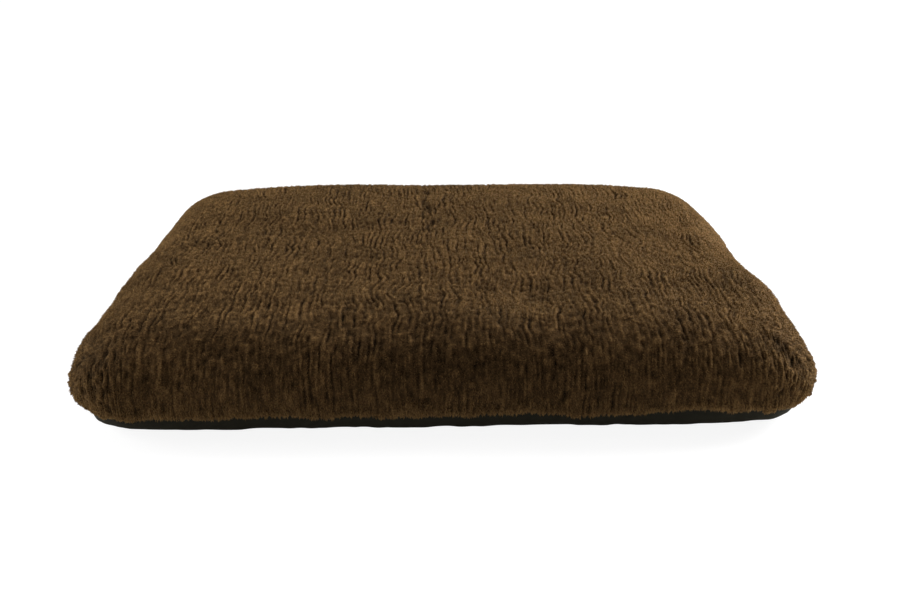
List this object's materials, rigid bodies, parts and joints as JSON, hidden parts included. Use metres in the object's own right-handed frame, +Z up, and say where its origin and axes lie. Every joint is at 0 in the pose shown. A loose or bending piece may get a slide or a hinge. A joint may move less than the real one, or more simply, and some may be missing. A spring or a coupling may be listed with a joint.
{
  "type": "pet cushion bed",
  "caption": "Low rectangular pet cushion with rounded corners: a deep-pile fleece top and sides over a dark woven base, closed by a zip at the back round a removable fibre-filled pad.",
  "frame": {"origin": "on the floor, under the middle of the cushion", "axes": "+Z up out of the lying surface, +X along the long side towards the closed end of the zip, +Y towards the side with the zip"},
  "size_m": [0.91, 0.68, 0.14],
  "materials": {
    "fleece": "deep soft pile",
    "base_fabric": "woven, matte",
    "zip_tape": "woven, matte",
    "zip_coil": "satin",
    "zip_metal": "gunmetal plate",
    "ticking": "plain weave, matte",
    "fibre": "loose fibre",
    "care_label": "satin ribbon"
  },
  "bodies": {
    "cushion": {"fleece_cover": "fleece", "base_panel": "base_fabric", "zip_end_tab_left": "base_fabric", "zip_end_tab_right": "base_fabric", "zip_tape_upper": "zip_tape", "zip_tape_lower": "zip_tape", "zip_coil_upper": "zip_coil", "zip_coil_lower": "zip_coil", "zip_bottom_stop": "zip_metal", "zip_top_stop_upper": "zip_metal", "zip_top_stop_lower": "zip_metal", "inner_case_top": "ticking", "inner_case_base": "ticking", "fibre_fill": "fibre", "care_label": "care_label"},
    "zip_slider": {"zip_slider_body": "zip_metal", "zip_slider_bridge": "zip_metal"},
    "zip_pull": {"zip_pull": "zip_metal"}
  },
  "joints": [
    {"name": "zip_run", "type": "slide", "parent": "cushion", "child": "zip_slider", "axis": [-1, 0, 0], "range_m": [0, 0.6013]},
    {"name": "pull_hinge", "type": "hinge", "parent": "zip_slider", "child": "zip_pull", "pos_m": [0.30065, 0.32685, 0.027], "axis": [0, 0, -1], "range_deg": [0, 180]}
  ]
}
